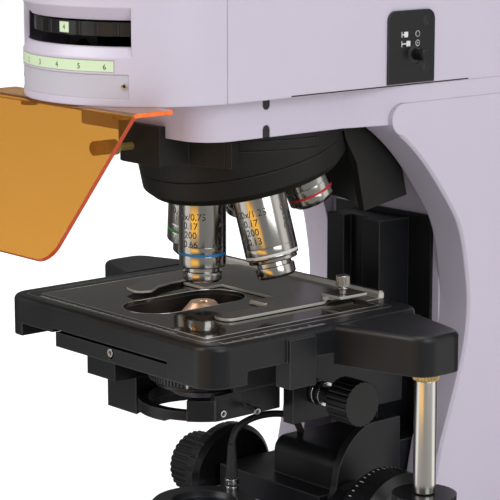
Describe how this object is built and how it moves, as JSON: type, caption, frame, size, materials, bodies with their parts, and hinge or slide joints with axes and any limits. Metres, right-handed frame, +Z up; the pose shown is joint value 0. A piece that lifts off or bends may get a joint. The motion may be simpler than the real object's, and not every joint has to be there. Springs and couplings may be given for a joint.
{
  "type": "fluorescence microscope",
  "caption": "Upright fluorescence microscope with a tilted revolving nosepiece, filter turret, mechanical stage, condenser, amber shield and binocular head.",
  "frame": {"origin": "centre of the bounding box on the table, under the arm", "axes": "+Z up, +Y to the back, +X to the user's right; the user sits on the -Y side"},
  "size_m": [0.273, 0.4614, 0.5176],
  "materials": {
    "lavender_paint": "satin",
    "black_metal": "satin",
    "black_plastic": "matte",
    "stage_inlay": "gloss",
    "cover_plate": "matte",
    "head_paint": "satin",
    "chrome": "polished",
    "steel": "brushed",
    "lens_glass": "clear",
    "amber_acrylic": "clear amber",
    "rubber": "matte",
    "lead_rubber": "matte"
  },
  "bodies": {
    "stand": {"base_casting": "lavender_paint", "base_bottom_plate": "black_metal", "rubber_feet": "rubber", "field_lens_housing": "black_metal", "field_lens": "lens_glass", "base_lamp_module": "black_metal", "column_casting": "lavender_paint", "column_side_covers": "lavender_paint", "column_front_panel": "black_metal", "focus_housing": "black_metal", "arm_casting": "lavender_paint", "front_cover": "lavender_paint", "rear_cover": "lavender_paint", "filter_access_plate": "cover_plate", "field_stop_panel": "black_plastic", "nosepiece_mount": "black_metal", "thumbscrews": "steel", "amber_shield": "amber_acrylic", "lamp_house": "black_metal", "lamp_lead": "lead_rubber", "lamp_lead_plug": "black_plastic"},
    "filter_turret": {"filter_wheel": "black_plastic", "filter_cubes": "black_metal"},
    "field_stop": {"field_stop_rod": "black_plastic"},
    "objective_turret": {"objective_turret": "black_metal", "objective_40x": "chrome", "objective_100x": "chrome", "objective_4x": "chrome", "objective_10x": "chrome", "objective_20x": "chrome", "turret_plug": "black_metal"},
    "nose_40x": {"objective_40x_nose": "chrome"},
    "nose_100x": {"objective_100x_nose": "chrome"},
    "slider": {"nosepiece_slider": "black_plastic"},
    "stage_carrier": {"stage_bracket": "black_metal", "stage_underplate": "black_metal"},
    "stage": {"stage_top_plate": "black_metal", "stage_inlay": "stage_inlay", "stage_wing_right": "black_metal", "stage_wing_left": "black_metal", "stage_guide_rail": "black_metal", "stage_drive_shaft": "steel"},
    "specimen_holder": {"specimen_holder": "black_metal", "holder_screw": "steel"},
    "holder_finger": {"holder_finger": "black_metal"},
    "stage_y_knob": {"stage_y_knob": "black_plastic"},
    "stage_x_knob": {"stage_x_knob": "black_plastic"},
    "condenser": {"condenser_fork": "black_metal", "condenser_body": "black_metal", "condenser_top_lens": "lens_glass"},
    "condenser_iris": {"condenser_iris_ring": "black_plastic"},
    "condenser_knob": {"condenser_knob": "black_plastic"},
    "coarse_focus": {"coarse_focus_knobs": "black_plastic"},
    "fine_focus": {"fine_focus_knobs": "black_plastic"},
    "viewing_head": {"viewing_head": "head_paint"},
    "left_eyepiece": {"eyepiece_arm_left": "head_paint", "eyepiece_left": "black_plastic"},
    "right_eyepiece": {"eyepiece_arm_right": "head_paint", "eyepiece_right": "black_plastic"},
    "brightness": {"brightness_knob": "black_plastic"}
  },
  "joints": [
    {"name": "filter_turret_turn", "type": "hinge", "parent": "stand", "child": "filter_turret", "pos_m": [-0.0145, -0.11269, 0.343], "axis": [0, 0, 1], "continuous": true},
    {"name": "field_stop_slide", "type": "slide", "parent": "stand", "child": "field_stop", "axis": [1, 0, 0], "range_m": [0, 0.008]},
    {"name": "objective_turn", "type": "hinge", "parent": "stand", "child": "objective_turret", "pos_m": [-0.0145, -0.05067, 0.26514], "axis": [0, 0.2419, -0.9703], "continuous": true},
    {"name": "nose_40x_spring", "type": "slide", "parent": "objective_turret", "child": "nose_40x", "axis": [0, 0, 1], "range_m": [0, 0.0022], "stiffness_N_per_m": 900, "springref_m": -0.001},
    {"name": "nose_100x_spring", "type": "slide", "parent": "objective_turret", "child": "nose_100x", "axis": [-0.2095, -0.1174, 0.9707], "range_m": [0, 0.0022], "stiffness_N_per_m": 900, "springref_m": -0.001},
    {"name": "slider_slide", "type": "slide", "parent": "stand", "child": "slider", "axis": [0.9397, 0.342, 0], "range_m": [0, 0.03]},
    {"name": "stage_lift", "type": "slide", "parent": "stand", "child": "stage_carrier", "axis": [0, 0, 1], "range_m": [-0.012, 0.005]},
    {"name": "coarse_focus_turn", "type": "hinge", "parent": "stand", "child": "coarse_focus", "pos_m": [-0.0145, -0.01429, 0.064], "axis": [1, 0, 0], "range_deg": [-116, 49]},
    {"name": "fine_focus_turn", "type": "hinge", "parent": "coarse_focus", "child": "fine_focus", "pos_m": [-0.0145, -0.01429, 0.064], "axis": [1, 0, 0], "continuous": true},
    {"name": "stage_y_travel", "type": "slide", "parent": "stage_carrier", "child": "stage", "axis": [0, 1, 0], "range_m": [-0.007, 0.035]},
    {"name": "stage_y_knob_turn", "type": "hinge", "parent": "stage", "child": "stage_y_knob", "pos_m": [0.1195, -0.04029, 0.091], "axis": [0, 0, 1], "range_deg": [-51, 252]},
    {"name": "specimen_x_travel", "type": "slide", "parent": "stage", "child": "specimen_holder", "axis": [1, 0, 0], "range_m": [-0.037, 0.037]},
    {"name": "stage_x_knob_turn", "type": "hinge", "parent": "stage", "child": "stage_x_knob", "pos_m": [0.1195, -0.04029, 0.068], "axis": [0, 0, 1], "range_deg": [-266, 266]},
    {"name": "holder_finger_swing", "type": "hinge", "parent": "specimen_holder", "child": "holder_finger", "pos_m": [-0.0535, -0.04629, 0.191], "axis": [0, 0, -1], "range_deg": [0, 30], "stiffness_Nm_per_rad": 0.05, "springref_deg": -17.19},
    {"name": "condenser_lift", "type": "slide", "parent": "stage_carrier", "child": "condenser", "axis": [0, 0, 1], "range_m": [-0.008, 0.001]},
    {"name": "condenser_knob_turn", "type": "hinge", "parent": "stage_carrier", "child": "condenser_knob", "pos_m": [0.0455, -0.03269, 0.137], "axis": [1, 0, 0], "range_deg": [-58, 8]},
    {"name": "condenser_iris_turn", "type": "hinge", "parent": "condenser", "child": "condenser_iris", "pos_m": [-0.0145, -0.07929, 0.143], "axis": [0, 0, 1], "range_deg": [-35, 55]},
    {"name": "head_turn", "type": "hinge", "parent": "stand", "child": "viewing_head", "pos_m": [-0.0145, -0.07929, 0.372], "axis": [0, 0, 1], "continuous": true},
    {"name": "left_eyepiece_swing", "type": "hinge", "parent": "viewing_head", "child": "left_eyepiece", "pos_m": [-0.0145, -0.10129, 0.424], "axis": [0, -0.866, 0.5], "range_deg": [-15, 25]},
    {"name": "right_eyepiece_swing", "type": "hinge", "parent": "viewing_head", "child": "right_eyepiece", "pos_m": [-0.0145, -0.10129, 0.424], "axis": [0, 0.866, -0.5], "range_deg": [-15, 25]},
    {"name": "brightness_turn", "type": "hinge", "parent": "stand", "child": "brightness", "pos_m": [0.0855, -0.11929, 0.016], "axis": [1, 0, 0], "range_deg": [-20, 250]}
  ],
  "couplings": [
    {"joint": "coarse_focus_turn", "follows": "stage_lift", "rad_per_m": 166.66},
    {"joint": "stage_y_knob_turn", "follows": "stage_y_travel", "rad_per_m": 125},
    {"joint": "stage_x_knob_turn", "follows": "specimen_x_travel", "rad_per_m": 125},
    {"joint": "condenser_knob_turn", "follows": "condenser_lift", "rad_per_m": 125},
    {"joint": "right_eyepiece_swing", "follows": "left_eyepiece_swing", "ratio": 1}
  ]
}
